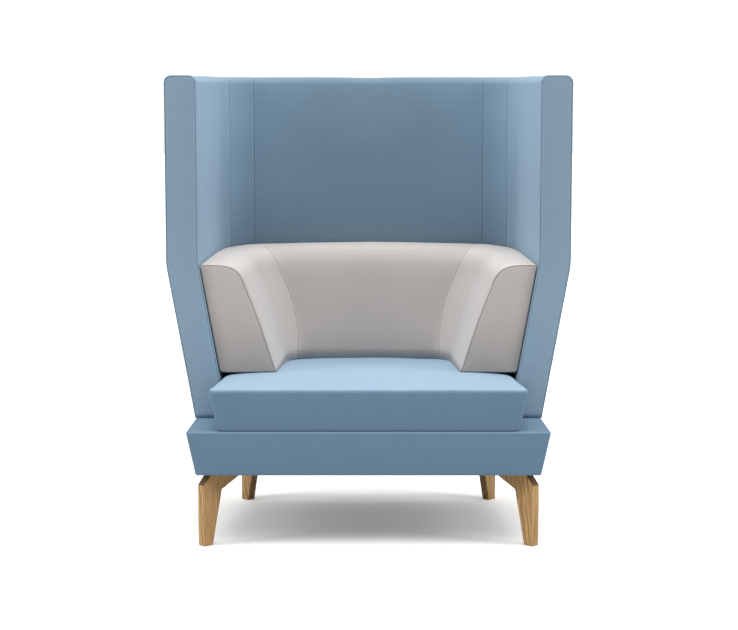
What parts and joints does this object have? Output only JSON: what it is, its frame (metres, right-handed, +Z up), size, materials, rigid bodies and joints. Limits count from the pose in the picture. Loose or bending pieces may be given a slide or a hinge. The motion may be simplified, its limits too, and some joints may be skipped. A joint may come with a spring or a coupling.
{
  "type": "acoustic high back lounge chair",
  "caption": "High back lounge chair with tall splayed screening wings, a padded arm and back unit, a crowned seat cushion, an upholstered base and flat elbow-shaped wooden legs.",
  "frame": {"origin": "on the floor, at the middle of the footprint's box", "axes": "+Z up, +Y to the rear, +X to the right of a viewer who faces the chair"},
  "size_m": [1.148, 0.76, 1.3],
  "materials": {
    "blue_fabric": "matte",
    "grey_fabric": "matte",
    "oak": "satin",
    "plywood": "matte",
    "foam": "matte",
    "wadding": "matte",
    "webbing": "matte",
    "dust_cloth": "matte",
    "zinc_steel": "satin",
    "spring_steel": "satin",
    "nylon": "matte"
  },
  "bodies": {
    "root": {"arm_cover_left": "grey_fabric", "arm_cover_right": "grey_fabric", "arm_foam_left": "foam", "arm_foam_right": "foam", "arm_frames": "plywood", "arm_front_panel_left": "grey_fabric", "arm_front_panel_right": "grey_fabric", "back_cover": "grey_fabric", "back_foam": "foam", "back_frame": "plywood", "back_inner_cover": "blue_fabric", "back_inner_foam": "foam", "back_webbing": "webbing", "base_corner_blocks": "plywood", "base_cover": "blue_fabric", "base_cross_rail": "plywood", "base_foam": "foam", "base_front_rail": "plywood", "base_rear_corners": "plywood", "base_rear_rail": "plywood", "base_side_rail_left": "plywood", "base_side_rail_right": "plywood", "corner_formers": "plywood", "corner_inner_cover_left": "blue_fabric", "corner_inner_cover_right": "blue_fabric", "corner_inner_foam_left": "foam", "corner_inner_foam_right": "foam", "dust_cover": "dust_cloth", "leg_bolts": "zinc_steel", "leg_front_left": "oak", "leg_front_right": "oak", "leg_glide_nails": "zinc_steel", "leg_glides": "nylon", "leg_mount_plates": "zinc_steel", "leg_rear_left": "oak", "leg_rear_right": "oak", "leg_threaded_inserts": "zinc_steel", "rear_frame": "plywood", "rear_outer_cover": "blue_fabric", "rear_outer_foam": "foam", "seat_cover_border": "blue_fabric", "seat_cover_top": "blue_fabric", "seat_cover_under": "dust_cloth", "seat_foam": "foam", "seat_spring_clips": "zinc_steel", "seat_wadding": "wadding", "seat_zigzag_springs": "spring_steel", "shell_strap_bolts": "zinc_steel", "shell_straps": "zinc_steel", "wing_frame_left": "plywood", "wing_frame_right": "plywood", "wing_front_border_left": "blue_fabric", "wing_front_border_right": "blue_fabric", "wing_inner_cover_left": "blue_fabric", "wing_inner_cover_right": "blue_fabric", "wing_inner_foam_left": "foam", "wing_inner_foam_right": "foam", "wing_outer_cover_left": "blue_fabric", "wing_outer_cover_right": "blue_fabric", "wing_outer_foams": "foam"}
  },
  "joints": []
}
